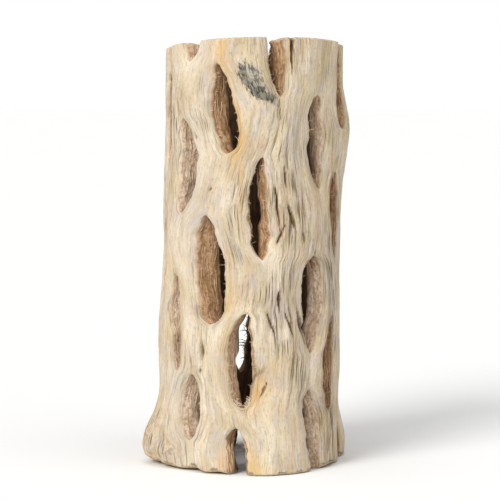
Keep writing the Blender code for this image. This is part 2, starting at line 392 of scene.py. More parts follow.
# Knots where a branch was shed: angle, height, reach, ring spacing, and how proud the middle is. Then how
# uneven their rings are, by width, length and size
KNOTS = (
    (-58.5, 0.0068, 0.0038, 0.0021, 0.0004),
    (-72, 0.012, 0.0044, 0.0024, 0.0003),
    (118, 0.006, 0.0064, 0.002, 0.0003),
    (84, 0.118, 0.0046, 0.0016, 0),
    (212, 0.11, 0.005, 0.0017, 0.0002),
)
KNOT_UNEVEN = (0.005, 0.005, 0.0009)


def wandered(grain, height):
    """The grain line after it has wandered a little to either side, by two layers of noise."""
    layers = enumerate(WANDERS)
    return grain + sum(size * hills(grain, height, *cell, 70 + k) for k, (size, *cell) in layers)


def roughness(grain, arc, height):
    """0 where the wood is rubbed smooth and 1 where it is rough, by a broad noise and the rough places."""
    share = ROUGH_MEAN + ROUGH_NOISE * hills(grain, height, *ROUGH_CELL, 6)
    for *place, gain in ROUGH_PLACES:
        share = share + gain * spot(arc, height, *place)
    return smooth(share)


def open_cracks(arc, height):
    """How dark and how deep the open cracks are: 0 on sound wood and 1 along the middle of a crack, which
    tapers to both of its ends, and a depth there that grows with the square of its width."""
    found = np.zeros_like(arc)
    deep = np.zeros_like(arc)
    wander = CRACK_WANDER[2] * hills(arc, height, *CRACK_WANDER[:2], 60)
    for angle, low, high, half_width, lean, widest in OPEN_CRACKS:
        middle, half = (low + high) / 2, (high - low) / 2
        t = np.clip((height - middle) / half, -1, 1)
        wide = half_width * (1 - np.abs(t - widest * (1 - t * t) * 0.5) ** 1.5) + 1e-9
        off = round_from(arc - lean * (height - middle), angle) + wander
        inside = smooth(1.7 - np.abs(off) / wide) * (np.abs(t) < 1)
        found = np.maximum(found, inside)
        deep = np.maximum(deep, inside * half_width**2 * CRACK_DEPTH)
    return found, deep


def scooped(arc, height):
    """How deep the scoops are: each oval's depth times a smooth step of edge (1 - r)."""
    gone = np.zeros_like(arc)
    for *place, deepest in SCOOPS:
        gone = np.maximum(gone, deepest * smooth(SCOOP_EDGE * (1 - oval(arc, height, *place))))
    return gone


def knots_at(arc, height):
    """At each point, for the knot that is felt most there: how much it is felt, exp(-r^2), how many of its
    rings lie between the point and its middle, and how proud it is."""
    uneven = KNOT_UNEVEN[2] * hills(arc, height, *KNOT_UNEVEN[:2], 50)
    felt, turns, proud = np.zeros((3, len(arc)))
    for angle, at_height, reach, spacing, size in KNOTS:
        far = np.hypot(round_from(arc, angle), height - at_height)
        fade = np.exp(-((far / reach) ** 2))
        nearest = fade > felt
        felt = np.where(nearest, fade, felt)
        turns = np.where(nearest, (far + uneven) / spacing, turns)
        proud = np.where(nearest, size * fade, proud)
    return felt, turns, proud


def relief(grain, arc, height):
    """The height of the grain over the smooth stem, and how much painted shade the valley between two cords
    gets there.
    """
    line = wandered(grain, height)
    rough = roughness(grain, arc, height)
    raised = SWELL[2] * hills(line, height, *SWELL[:2], 10) - RELIEF_SINKS
    valley_shade = np.zeros_like(grain)
    for number, (across, along, size) in enumerate(CORDS):
        cord = np.abs(hills(line, height, across, along, 20 + number))
        strength = SMOOTH_STRENGTH + (1 - SMOOTH_STRENGTH) * rough
        raised = raised + size * strength * (2 * cord - CORD_MEAN)
        valley_shade = np.maximum(valley_shade, strength * smooth(1 - cord / VALLEY_SHADE_WIDTH))
    raised = raised + GRIT[2] * hills(line, height, *GRIT[:2], 30)
    low, high = FLAKE_EDGE
    flaked = smooth((hills(line, height, *FLAKE_CELL, 40) - low) / (high - low))
    raised = raised + FLAKE_STEP * (flaked - 0.5)
    felt, _, proud = knots_at(arc, height)
    return raised * (1 - RELIEF_LOST_AT_KNOT * felt) + proud, valley_shade * (1 - felt)


def stem_radius(arc, height):
    """The smooth stem: flared at the foot, lopsided, lobed by cosines, and with knobs as round hills."""
    angle = arc / OUTER_RADIUS
    radius = OUTER_RADIUS + FOOT_FLARE * (1 - height / HEIGHT) - LOPSIDED * np.sin(angle)
    for waves, proud, start, twist in LOBES:
        radius += proud * np.cos(waves * angle + start + twist * height)
    for *place, proud in KNOBS:
        radius += proud * spot(arc, height, *place)
    return radius


# The sawn edges: how worn, how chipped by width and size, how much more so at the foot, and where more has
# broken away from the foot's outer edge or the top's inner one, by angle, reach and size. Then how far up
# or down the stem a break is felt
EDGE_WEAR = 0.00025
EDGE_CHIPS = ((0.0062, 0.0011), (0.0023, 0.0006))
FOOT_WEAR = 1.7
FOOT_BREAKS = (
    (-80, 0.013, 0.0022),
    (-42, 0.0034, 0.0018),
    (-24, 0.003, 0.0012),
    (60, 0.006, 0.001),
    (200, 0.005, 0.0012),
)
TOP_BREAKS = (
    (17, 0.004, 0.002),
    (-45, 0.004, 0.0014),
    (140, 0.006, 0.0016),
    (250, 0.005, 0.0014),
)
BREAK_HEIGHT = 0.006


def place_of(grain, height, side, depth):
    """Points of the wood from their grain line, height, side of the slit and depth in the wall, 0 on the
    outside and 1 in the hollow: the grain line gives the angle, and the depth blends the two radii. Near a
    sawn end the height is worn and broken away a little."""
    arc = arc_of(grain, height, side, depth)
    angle = arc / OUTER_RADIUS
    rim = rim_share(grain, height)
    smooth_stem = stem_radius(arc, height)
    raised, _ = relief(grain, arc, height)
    outside = smooth_stem - RIM_DROP * rim + raised * (1 - RELIEF_LOST_AT_RIM * rim)
    outside = outside - open_cracks(arc, height)[1] - scooped(arc, height)
    hollow = OUTER_RADIUS - WALL + INNER_FOLLOW * (smooth_stem - OUTER_RADIUS) + INNER_RIM_RISE * rim
    hollow += RELIEF_IN_HOLLOW * raised
    radius = outside + (hollow - outside) * depth
    x = radius * np.sin(angle)
    y = -radius * np.cos(angle)
    blend = smooth((height / HEIGHT - TOP_BLEND_FROM) / (1 - TOP_BLEND_FROM))
    z = height + (TOP_CENTRE + TOP_RISE_X * x + TOP_RISE_Y * y - HEIGHT) * blend
    worn = EDGE_WEAR + sum(size * np.abs(hills(arc, height, cell, 1.0, 41)) for cell, size in EDGE_CHIPS)
    foot = FOOT_WEAR * worn * near_edges(depth) * (height <= 0)
    top = worn * near_edges(depth) * (height >= HEIGHT)
    near_foot = np.exp(-height / BREAK_HEIGHT) * (1 - depth) ** 2
    near_top = np.exp((height - HEIGHT) / BREAK_HEIGHT) * depth
    for breaks, gone, near in ((FOOT_BREAKS, foot, near_foot), (TOP_BREAKS, top, near_top)):
        for at_angle, reach, size in breaks:
            gone += size * spot(arc, 0, at_angle, 0, reach, 1) * near
    return np.stack([AXIS_X + x, y, z + foot - top], axis=-1)


# The lattice: columns on the outside and in the hollow, rows up the stem, and steps through the wall
COLUMNS = 384
INNER_COLUMNS = 128
ROWS = 144
STEPS = np.array([0.0, 0.06, 0.16, 0.3, 0.45, 0.6, 0.75, 0.9, 1.0])
ROW_HEIGHT = HEIGHT / ROWS
TIP_CLEARANCE = 0.35


def slits(columns):
    """Which points of a lattice with this many columns a window parts, and the height of every point. The
    point just past a window's last open row is its closed tip, drawn to the tip's own height."""
    heights = np.tile(np.arange(ROWS + 1) * ROW_HEIGHT, (columns, 1))
    parted = np.zeros((columns, ROWS + 1), bool)
    for window in WINDOWS:
        column = round(slit_of(window) / GIRTH * columns) % columns
        reach = window.half_length - TIP_CLEARANCE * ROW_HEIGHT
        first, last = 0, ROWS
        if window.height > window.half_length:
            first = max(2, math.ceil((window.height - reach) / ROW_HEIGHT))
            heights[column, first - 1] = max(window.height - window.half_length, ROW_HEIGHT / 2)
        if window.height + window.half_length < HEIGHT:
            last = min(ROWS - 2, math.floor((window.height + reach) / ROW_HEIGHT))
            heights[column, last + 1] = min(window.height + window.half_length, HEIGHT - ROW_HEIGHT / 2)
        parted[column, first : last + 1] = True
    return parted, heights


def layer_of(columns, depth, count, wanted=None):
    """One sheet of the lattice at a depth in the wall. Each wanted point gets the next number, and a parted
    one gets a second number for its upper side. Returns both sides' numbers and the points' parameters."""
    parted, heights = slits(columns)
    wanted = np.ones_like(parted) if wanted is None else wanted
    low = np.full(parted.shape, -1)
    low[wanted] = count + np.arange(wanted.sum())
    high = low.copy()
    high[parted] = count + wanted.sum() + np.arange(parted.sum())
    grains = np.tile((np.arange(columns) * GIRTH / columns)[:, None], (1, ROWS + 1))
    sides = np.where(parted, -1.0, 0.0)
    parameters = [np.concatenate([values[wanted], values[parted]]) for values in (grains, heights)]
    parameters.append(np.concatenate([sides[wanted], np.ones(parted.sum())]))
    parameters.append(np.full(len(parameters[0]), depth))
    return low, high, parameters


def sheet_faces(low, high):
    """Four-sided faces between each column and the next. A face uses its own side of a parted point."""
    right = np.roll(low, -1, axis=0)
    return np.stack([high[:, :-1], right[:, :-1], right[:, 1:], high[:, 1:]], axis=-1).reshape(-1, 4)


def wood_lattice():
    """The closed mesh of the wood as numbers: the outer sheet, the sheet in the hollow, the walls of every
    window between them, and the two sawn ends. Returns the points' parameters and the faces."""
    layers, found, count = [], [], 0
    parted, _ = slits(INNER_COLUMNS)
    edge = parted.copy()
    edge[:, 1:] |= parted[:, :-1]
    edge[:, :-1] |= parted[:, 1:]
    edge[:, [0, -1]] = True
    for depth in STEPS:
        columns = COLUMNS if depth == 0 else INNER_COLUMNS
        wanted = edge if 0 < depth < 1 else None
        low, high, parameters = layer_of(columns, depth, count, wanted)
        layers.append((low, high))
        found.append(parameters)
        count += len(parameters[0])
    quads = [sheet_faces(*layers[0]), sheet_faces(*layers[-1])[:, ::-1]]
    triangles = []
    fine = COLUMNS // INNER_COLUMNS
    cut = parted[:, :-1] | parted[:, 1:]
    for (low, high), (next_low, next_high) in zip(layers[:-1], layers[1:]):
        outermost = len(low) == COLUMNS
        near_low, near_high = (low[::fine], high[::fine]) if outermost else (low, high)
        for near, far, turn in ((near_low, next_low, 1), (near_high, next_high, -1)):
            wall = np.stack([near[:, :-1], far[:, :-1], far[:, 1:], near[:, 1:]], axis=-1)[cut]
            quads.append(wall[:, ::turn])
        for row, turn in ((0, 1), (ROWS, -1)):
            a, b = next_high[:, row], np.roll(next_low[:, row], -1)
            if outermost:
                ring = [high[::fine, row]]
                ring += [low[step::fine, row] for step in range(1, fine)]
                ring.append(np.roll(low[::fine, row], -1))
                half = fine // 2
                fans = [np.stack([ring[k], a if k < half else b, ring[k + 1]], -1) for k in range(fine)]
                fans.append(np.stack([ring[half], a, b], -1))
                triangles += [fan[:, ::turn] for fan in fans]
            else:
                ring = np.stack([near_high[:, row], a, b, np.roll(near_low[:, row], -1)], axis=-1)
                quads.append(ring[:, ::turn])
    parameters = [np.concatenate(values) for values in zip(*found)]
    return parameters, np.concatenate(quads), np.concatenate(triangles)


def mesh_of(name, points, *faces):
    """A mesh from arrays of points and of faces with three or four corners, shaded smooth."""
    mesh = bpy.data.meshes.new(name)
    corners = np.concatenate([part.ravel() for part in faces]).astype(np.int32)
    sizes = np.concatenate([np.full(len(part), part.shape[1]) for part in faces])
    starts = np.concatenate([[0], np.cumsum(sizes)[:-1]]).astype(np.int32)
    mesh.vertices.add(len(points))
    mesh.vertices.foreach_set("co", points.astype(np.float32).ravel())
    mesh.loops.add(len(corners))
    mesh.loops.foreach_set("vertex_index", corners)
    mesh.polygons.add(len(starts))
    mesh.polygons.foreach_set("loop_start", starts)
    mesh.update(calc_edges=True)
    mesh.validate()
    mesh.shade_smooth()
    return mesh


(grain, height, side, depth), quads, triangles = wood_lattice()
wood_mesh = mesh_of("cholla_wood", place_of(grain, height, side, depth), quads, triangles)

# The stem wood: colour by place
# Dry wood keeps warm heartwood colours where the strands were rubbed, and goes silver grey where sun and
# rain reached it. Each place is a strength, an angle, a height, a reach round and along, and any slope.
COLOUR_PLACES = {}
COLOUR_PLACES["warm"] = (
    (1, -14.5, 0.127, 0.002, 0.011, -0.2),
    (0.8, -12, 0.113, 0.0022, 0.008, 0.2),
    (1, -22.5, 0.1475, 0.0022, 0.006),
    (0.6, -9.5, 0.098, 0.0012, 0.013),
    (0.5, -17, 0.068, 0.0018, 0.012),
    (0.6, -17, 0.045, 0.0016, 0.014),
    (1, 0.8, 0.0284, 0.0026, 0.006, 0.45),
    (0.3, -70, 0.011, 0.007, 0.006),
    (0.7, 24, 0.147, 0.001, 0.006),
    (0.8, 33, 0.145, 0.0012, 0.0035),
    (0.8, -22, 0.004, 0.0018, 0.005),
    (0.9, -2, 0.005, 0.002, 0.006, -0.3),
    (0.8, -80, 0.01, 0.003, 0.005),
    (0.7, -68, 0.003, 0.005, 0.0016),
    (0.5, 60, 0.095, 0.003, 0.01),
    (0.8, 120, 0.09, 0.004, 0.018),
    (0.8, 185, 0.06, 0.0035, 0.02),
    (0.8, 250, 0.12, 0.004, 0.016),
)
COLOUR_PLACES["grey"] = (
    (0.7, -42, 0.09, 0.006, 0.02),
    (0.6, -33, 0.133, 0.003, 0.012),
    (1, 27, 0.112, 0.003, 0.012, -0.1),
    (0.9, -24, 0.011, 0.0024, 0.008),
    (0.9, 14, 0.058, 0.006, 0.011),
    (0.5, -22, 0.08, 0.003, 0.014),
    (0.7, 62, 0.07, 0.005, 0.016),
    (0.8, 155, 0.04, 0.008, 0.022),
    (0.8, 225, 0.1, 0.008, 0.026),
    (0.5, 280, 0.06, 0.006, 0.02),
    (0.8, -62, 0.008, 0.008, 0.007),
    (0.7, -58, 0.03, 0.006, 0.012),
)
COLOUR_PLACES["bleached"] = (
    (1, -52.8, 0.1056, 0.007, 0.02),
    (1, -45.4, 0.0222, 0.007, 0.015),
    (1, -59.4, 0.0511, 0.007, 0.02),
    (0.8, -43.2, 0.148, 0.006, 0.01),
    (0.8, 49.5, 0.1138, 0.007, 0.019),
    (0.9, 43, 0.0575, 0.009, 0.019),
    (1, 42.5, 0.0125, 0.007, 0.017),
    (0.5, -8.4, 0.0392, 0.007, 0.018),
    (0.9, 131, 0.09, 0.01, 0.018),
    (0.8, 203, 0.0885, 0.01, 0.018),
    (0.9, 254, 0.048, 0.01, 0.018),
    (0.9, 281, 0.075, 0.01, 0.018),
)
COLOUR_PLACES["weathered"] = (
    (0.9, -6.4, 0.1384, 0.003, 0.0036, -0.2),
    (0.7, -1, 0.136, 0.0042, 0.005, -0.3),
    (0.9, 1.5, 0.1318, 0.0036, 0.003, -0.4),
    (0.9, 8, 0.1294, 0.0036, 0.0014, -0.4),
    (0.7, 13.2, 0.1274, 0.0016, 0.0012, -0.5),
)
COLOUR_PLACES["blackened"] = (
    (1, -9.2, 0.1385, 0.0014, 0.0036, -0.3),
    (1, -5, 0.1335, 0.0022, 0.004, -0.5),
    (1, 1.5, 0.1312, 0.004, 0.0024, -0.5),
    (0.9, 9, 0.1288, 0.004, 0.0014, -0.5),
)

# What the material reads at each point: one number, or one vector
arc = arc_of(grain, height, side, depth)
_, valley_shade = relief(grain, arc, height)
line = wandered(grain, height) / OUTER_RADIUS
at_radius = OUTER_RADIUS - WALL * depth
straight = np.stack([at_radius * np.sin(line), -at_radius * np.cos(line), height], axis=-1)
at_end = ((height <= 0) | (height >= HEIGHT)) & (depth > 0) & (depth < 1)

knot_felt, knot_turns, _ = knots_at(arc, height)
notes = {
    "straight": straight,
    "depth": depth,
    "cut": at_end.astype(float),
    "valley_shade": valley_shade,
    "crack": open_cracks(arc, height)[0] * (depth < 0.5),
    "rough": roughness(grain, arc, height),
    "knot": knot_felt * (depth < 0.5),
    "knot_turns": knot_turns,
}
for name, places in COLOUR_PLACES.items():
    notes[name] = sum(strength * spot(arc, height, *place) for strength, *place in places)
for name, values in notes.items():
    kind, field = ("FLOAT", "value") if values.ndim == 1 else ("FLOAT_VECTOR", "vector")
    data = wood_mesh.attributes.new(name, kind, "POINT").data
    data.foreach_set(field, values.astype(np.float32).ravel())


def linear(code):
    """The linear colour of an sRGB hex value, by the sRGB curve."""
    channels = [int(code[i : i + 2], 16) / 255 for i in (0, 2, 4)]
    return [c / 12.92 if c <= 0.04045 else ((c + 0.055) / 1.055) ** 2.4 for c in channels] + [1.0]


def add(tree, kind, sockets, **settings):
    """Adds a node, sets its options, and links or sets each of its input sockets."""
    node = tree.nodes.new(kind)
    for name, value in settings.items():
        setattr(node, name, value)
    for socket, value in sockets.items():
        if isinstance(value, bpy.types.NodeSocket):
            tree.links.new(value, node.inputs[socket])
        else:
            node.inputs[socket].default_value = value
    return node


def matt(name, roughness, shine):
    """A matt material and its shader."""
    material = bpy.data.materials.new(name)
    material.use_nodes = True
    shader = material.node_tree.nodes["Principled BSDF"]
    shader.inputs["Roughness"].default_value = roughness
    shader.inputs["Specular IOR Level"].default_value = shine
    return material, shader


def weathered_wood():
    """Dry, sun-bleached cactus wood: matt and fibrous, pale outside, brown in its windows and hollow."""
    material, shader = matt("weathered_cactus_wood", 0.9, 0.2)
    tree = material.node_tree

    def value(name):
        return add(tree, "ShaderNodeAttribute", {}, attribute_name=name).outputs["Fac"]

    def calc(operation, *inputs):
        return add(tree, "ShaderNodeMath", dict(enumerate(inputs)), operation=operation).outputs[0]

    def ranged(source, low, high, to_low=0.0, to_high=1.0):
        sockets = {"Value": source, "From Min": low, "From Max": high, "To Min": to_low, "To Max": to_high}
        return add(tree, "ShaderNodeMapRange", sockets).outputs["Result"]

    def times(pattern, factor):
        return calc("MULTIPLY", pattern, factor)

    def mixed(share, below, above):
        sockets = {"Factor": share, 6: below, 7: above}
        return add(tree, "ShaderNodeMix", sockets, data_type="RGBA", clamp_factor=True).outputs[2]

    def shades(share, low, high):
        return mixed(share, linear(low), linear(high))

    def tinted(below, code, pattern, share):
        return mixed(times(pattern, share), below, linear(code))

    def along_grain(across_mm, along_mm, offset):
        place = add(tree, "ShaderNodeAttribute", {}, attribute_name="straight").outputs["Vector"]
        across, along = 1000 / across_mm, 1000 / along_mm
        sockets = {"Vector": place, "Scale": (across, across, along), "Location": (offset, 0, 0)}
        return {"Vector": add(tree, "ShaderNodeMapping", sockets).outputs["Vector"], "Scale": 1.0}

    def noise(across_mm, along_mm, detail=2.0, roughness=0.5, offset=0.0):
        sockets = {**along_grain(across_mm, along_mm, offset), "Detail": detail, "Roughness": roughness}
        return add(tree, "ShaderNodeTexNoise", sockets).outputs["Fac"]

    def dashes(across_mm, along_mm, offset, radius):
        sockets = along_grain(across_mm, along_mm, offset)
        dash = add(tree, "ShaderNodeTexVoronoi", sockets, feature="F1")
        return ranged(dash.outputs["Distance"], 0.45 * radius, radius, 1, 0)

    # Bleached outer wood: broad drifts between cream and tan. On them lie yellow, pink and lilac blotches,
    # then tan streaks, pale fibres and dark specks. Each is a colour, how strong it is, the noise values
    # between which it sets in, and the noise's size across and along in mm, detail, roughness and offset
    colour = shades(ranged(noise(8, 15), 0.36, 0.64), "CCB896", "E4D6BE")
    lined = ranged(value("rough"), 0, 0.8, 0.18, 0.42)
    for code, share, low, high, *cell in (
        ("DDCA98", 0.5, 0.5, 0.66, 5, 9, 3, 0.65, 3.1),
        ("DBBEA8", 0.52, 0.5, 0.66, 5, 9, 3, 0.65, 7.7),
        ("C9C0BB", 0.58, 0.5, 0.66, 5, 9, 3, 0.65, 12.9),
        ("B8A283", lined, 0.42, 0.66, 1.2, 9, 3, 0.6, 1),
        ("F4ECDD", 0.34, 0.54, 0.68, 0.9, 5, 3, 0.6, 5),
        ("9C866A", 0.42, 0.55, 0.68, 0.7, 1.5, 2, 0.6, 9),
    ):
        colour = tinted(colour, code, ranged(noise(*cell), low, high), share)

    # Warm heartwood, silver grey, and painted shade in the valleys between cords
    warm = times(value("warm"), ranged(noise(1.8, 6, offset=2.0), 0.34, 0.56, 0.35))
    colour = tinted(colour, "DDB272", warm, 0.85)
    grey = times(value("grey"), ranged(noise(1.6, 6, offset=4.0), 0.32, 0.6, 0.3))
    colour = tinted(colour, "C6BDB6", grey, 0.75)
    colour = tinted(colour, "917E62", value("valley_shade"), 0.42)

    # Fine drying cracks: dashes along the grain that taper to both ends, many of them in the rough places
    # Their dark colour is painted shade in cracks too fine for the mesh to shade; the bump sinks them as
    # well
    fine_splits = times(dashes(0.8, 13, 0, 0.3), ranged(value("rough"), 0, 1, 0.2))
    long_splits = times(dashes(1.2, 26, 5, 0.32), value("rough"))
    crowded = times(dashes(0.9, 17, 9, 0.36), ranged(value("rough"), 0.55, 1))
    split = calc("MAXIMUM", fine_splits, calc("MAXIMUM", long_splits, crowded))
    colour = tinted(colour, "645039", split, 0.8)

    # Knots: rings round the middle, pushed out of shape and broken by noise
    turns = calc("ADD", value("knot_turns"), ranged(noise(2.6, 2.8, 1, 0.5, 27), 0.3, 0.7, -0.5, 0.5))
    rings = ranged(calc("COSINE", times(turns, 2 * math.pi)), 0, 1)
    kept = ranged(noise(1.8, 2.2, 2, 0.6, 29), 0.36, 0.56)
    rings = times(rings, times(value("knot"), kept))
    colour = tinted(colour, "8C7052", rings, 0.55)

    # The weathered patch under the upper cut: grey lichen with paler threads of wood, black lower down
    tufts = ranged(noise(0.7, 2.2, 3, 0.7, 11), 0.44, 0.57)
    ragged_edge = ranged(noise(1.1, 2.6, 3, 0.75, 13), 0.3, 0.7, -0.45, 0.45)
    broken = calc("ADD", value("weathered"), ragged_edge)
    pale_lichen = shades(tufts, "67635A", "C4BCAC")
    lichen = mixed(value("blackened"), pale_lichen, shades(tufts, "36342D", "8A8477"))
    colour = mixed(ranged(broken, 0.36, 0.72, 0, 0.95), colour, lichen)

    # Window walls and the hollow: tan to brown fibre and grains, darker with depth
    fibre = ranged(noise(1.1, 9, 3, 0.65, 15), 0.38, 0.62)
    grains = ranged(noise(0.9, 1.2, 2, 0.6, 17), 0.46, 0.62)
    wall = tinted(shades(fibre, "906A48", "C49F7A"), "6E5238", grains, 0.6)
    bleached = tinted(shades(fibre, "CBB195", "EFDCC8"), "947658", grains, 0.6)
    wall = mixed(value("bleached"), wall, bleached)
    # Deeper in, the brown darkens: partly the hollow's own browner wood, partly painted shade of the
    # shadowed hollow
    inside = mixed(ranged(value("depth"), 0.72, 1), wall, shades(fibre, "4E3B2B", "755B45"))
    colour = mixed(ranged(value("depth"), 0.01, 0.14), colour, inside)
    # Open cracks: dark brown, partly the torn wood inside them and partly painted shade where a crack is too
    # narrow to shade itself
    colour = mixed(ranged(value("crack"), 0.2, 0.95, 0, 0.85), colour, linear("6A482D"))

    # Sawn ends: tan end grain, dotted with pores
    pores = ranged(noise(0.7, 0.7, 2, 0.6, 19), 0.42, 0.58)
    colour = mixed(times(value("cut"), 0.85), colour, shades(pores, "B89C76", "DCCAAA"))

    # Bumps: fibre and grit, stronger in the rough places, with the fine cracks and the knots' rings sunk in
    grit = times(noise(0.5, 1, 2, 0.6, 23), 0.7)
    fine = calc("ADD", noise(0.9, 5, 3, 0.65, 21), grit)
    fine = times(fine, ranged(value("rough"), 0, 0.8, 0.75, 1.15))
    height_map = calc("SUBTRACT", fine, times(calc("MAXIMUM", split, rings), 0.9))
    bump = add(tree, "ShaderNodeBump", {"Height": height_map, "Strength": 0.8, "Distance": 0.0005})
    tree.links.new(colour, shader.inputs["Base Color"])
    tree.links.new(bump.outputs["Normal"], shader.inputs["Normal"])
    shader.inputs["IOR"].default_value = 1.45
    return material


def in_scene(name, data):
    """A new object with this name and data, in the scene."""
    thing = bpy.data.objects.new(name, data)
    bpy.context.scene.collection.objects.link(thing)
    return thing


def placed(mesh, material):
    """Puts a mesh into the scene as a piece of the wood, and returns the piece."""
    piece = in_scene(mesh.name, mesh)
    mesh.materials.append(material)
    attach(piece, "root")
    return piece


wood = placed(wood_mesh, weathered_wood())
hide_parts("wood_skeleton")

# Hairs on the rims of the windows
# Single dry fibres that stand out where a window's wall meets the outer face. They grew in the wood, and
# each is rooted in the rim. Real ones are finer than a tenth of a millimetre, and these a little thicker.

# Points along a thread, a direction that no thread runs in, and how far the roots keep from the sawn ends
THREAD_POINTS = 5
ODD_DIRECTION = np.array([0.31, -0.23, 0.92])
END_MARGIN = 0.003


def threads(name, paths, widths):
    """A mesh of tapered three-sided threads, one along each path of a few points, closed at its root by one
    face and at its tip by a point. The corners stand 120 degrees apart round the path."""
    count, points = paths.shape[:2]
    along = np.gradient(paths, axis=1)
    along /= np.linalg.norm(along, axis=-1, keepdims=True)
    first = np.cross(along, ODD_DIRECTION)
    first /= np.linalg.norm(first, axis=-1, keepdims=True)
    second = np.cross(along, first)
    taper = np.sqrt(1 - np.linspace(0, 1, points)[:-1] ** 2)
    corners = []
    for turn in (0, 2 * math.pi / 3, 4 * math.pi / 3):
        outwards = math.cos(turn) * first[:, :-1] + math.sin(turn) * second[:, :-1]
        corners.append(paths[:, :-1] + outwards * (widths[:, None] * taper)[..., None] / 2)
    corners = np.stack(corners, axis=2).reshape(count, -1, 3)
    vertices = np.concatenate([corners, paths[:, -1:]], axis=1)
    size = vertices.shape[1]
    tip = size - 1
    edges = [(0, 1), (1, 2), (2, 0)]
    rings = 3 * np.arange(points - 2)
    quads = [[ring + a, ring + b, ring + 3 + b, ring + 3 + a] for ring in rings for a, b in edges]
    triangles = [[tip - 3 + a, tip - 3 + b, tip] for a, b in edges] + [[2, 1, 0]]
    starts = size * np.arange(count)[:, None, None]
    quads, triangles = (starts + quads).reshape(-1, 4), (starts + triangles).reshape(-1, 3)
    return mesh_of(name, vertices.reshape(-1, 3), quads, triangles)


def directions(arc):
    """At places round the stem, the unit vectors round it and straight out of it."""
    angle = arc / OUTER_RADIUS
    level = np.zeros_like(angle)
    round_stem = np.stack([np.cos(angle), np.sin(angle), level], axis=-1)
    outwards = np.stack([np.sin(angle), -np.cos(angle), level], axis=-1)
    return round_stem, outwards


def roots_of(grain, height, side, depth):
    """Where threads that start here are rooted, and the unit vectors there round the stem and out of it."""
    return place_of(grain, height, side, depth), *directions(arc_of(grain, height, side, depth))


def drawn_places(draw, count, windows, depths, spread=0.92):
    """Random places on the walls of these windows, more on the longer ones and none close to a sawn end:
    grain line, height, side and depth."""
    longs = np.array([window.half_length for window in windows])
    chosen = draw.choice(len(windows), count, p=longs / longs.sum())
    middle = np.array([window.height for window in windows])[chosen]
    height = middle + longs[chosen] * draw.uniform(-spread, spread, count)
    grain = np.array([slit_of(window) for window in windows])[chosen]
    side = draw.choice((-1.0, 1.0), count)
    depth = draw.uniform(*depths, count)
    kept = (height > END_MARGIN) & (height < HEIGHT - END_MARGIN)
    return [values[kept] for values in (grain, height, side, depth)]


def lengthwise(start, step):
    """Evenly spaced values from each start to start + step, along a new last axis."""
    return start[:, None] + np.linspace(0, 1, THREAD_POINTS) * step[:, None]


# A rim hair's way: how far across the opening it runs and how that varies, how its lift and climb vary, the
# most that these draws may be, the axis that it bends round, and how much of it is sunk in the wood
HAIR_ACROSS = 0.9
ACROSS_VARIES = 0.4
LIFT_VARIES = 0.3
CLIMB_VARIES = 0.9
DRAW_LIMIT = 1.3
BENDS_ROUND = np.array([0.2, 0.1, 1.0])
UPWARDS = np.array([0, 0, 1.0])
SUNK_SHARE = 0.15


def rim_hair_paths(draw, places, lengths, lift=0.15, bent=0.8):
    """Short curved paths that leave the wall here across the opening, along the grain and outwards."""
    root, round_stem, outwards = roots_of(*places)
    count, side = len(root), places[2]
    length = draw.uniform(*lengths, count)
    mix = draw.normal(0, 1, (4, count)).clip(-DRAW_LIMIT, DRAW_LIMIT)
    way = -side[:, None] * round_stem * (HAIR_ACROSS + ACROSS_VARIES * mix[0])[:, None]
    way = way + outwards * (lift + LIFT_VARIES * mix[1])[:, None]
    way = way + UPWARDS * (CLIMB_VARIES * mix[2])[:, None]
    way /= np.linalg.norm(way, axis=-1, keepdims=True)
    bend = np.cross(way, BENDS_ROUND) * (bent * mix[3])[:, None]
    s = np.linspace(0, 1, THREAD_POINTS)[None, :, None]
    straight_on = s * (1 + SUNK_SHARE) - SUNK_SHARE
    return root[:, None] + length[:, None, None] * (straight_on * way[:, None] + s * s * bend[:, None])


def plain(name, code, roughness=0.9, shine=0.2):
    """A matt material of one even colour, as dry as loose fibre unless it says otherwise."""
    material, shader = matt(name, roughness, shine)
    shader.inputs["Base Color"].default_value = linear(code)
    return material


def placed_threads(name, draw, paths, widths, material):
    """Puts threads along these paths into the scene, each of a drawn width."""
    placed(threads(name, paths, draw.uniform(*widths, len(paths))), material)


RIM_HAIRS = 1100
RIM_HAIR_DEPTHS = (0.01, 0.25)
RIM_HAIR_LENGTHS = (0.0004, 0.002)
RIM_HAIR_WIDTHS = (0.00011, 0.00023)
pale_fibre = plain("pale_dry_fibre", "E4D2B4")
draw = np.random.default_rng(3)
places = drawn_places(draw, RIM_HAIRS, WINDOWS, RIM_HAIR_DEPTHS)
paths = rim_hair_paths(draw, places, RIM_HAIR_LENGTHS)
placed_threads("rim_hairs", draw, paths, RIM_HAIR_WIDTHS, pale_fibre)

# Fibres on the walls of the windows
# The walls are torn pith and strand ends: fibres several millimetres long that run up the wall and have
# come loose in the middle. Both ends stay in the wood.

WALL_FIBRES = 900
WALL_FIBRE_DEPTHS = (0.08, 0.8)
WALL_FIBRE_SPREAD = 0.8
WALL_FIBRE_LENGTHS = (0.0025, 0.0095)
WALL_FIBRE_WIDTHS = (0.00015, 0.00032)

# How far a wall fibre stands off and the drawn shares of that, how deep its ends are sunk, how its depth in
# the wall changes along it, and the depths and heights that it keeps between
FIBRE_LIFT = 0.00045
LIFT_SHARES = (0.2, 1.0)
ENDS_SUNK = 0.00008
DEPTH_CHANGE = 0.1
DEPTHS_KEPT = (0.03, 0.95)
ENDS_KEPT = (0.001, HEIGHT - 0.001)


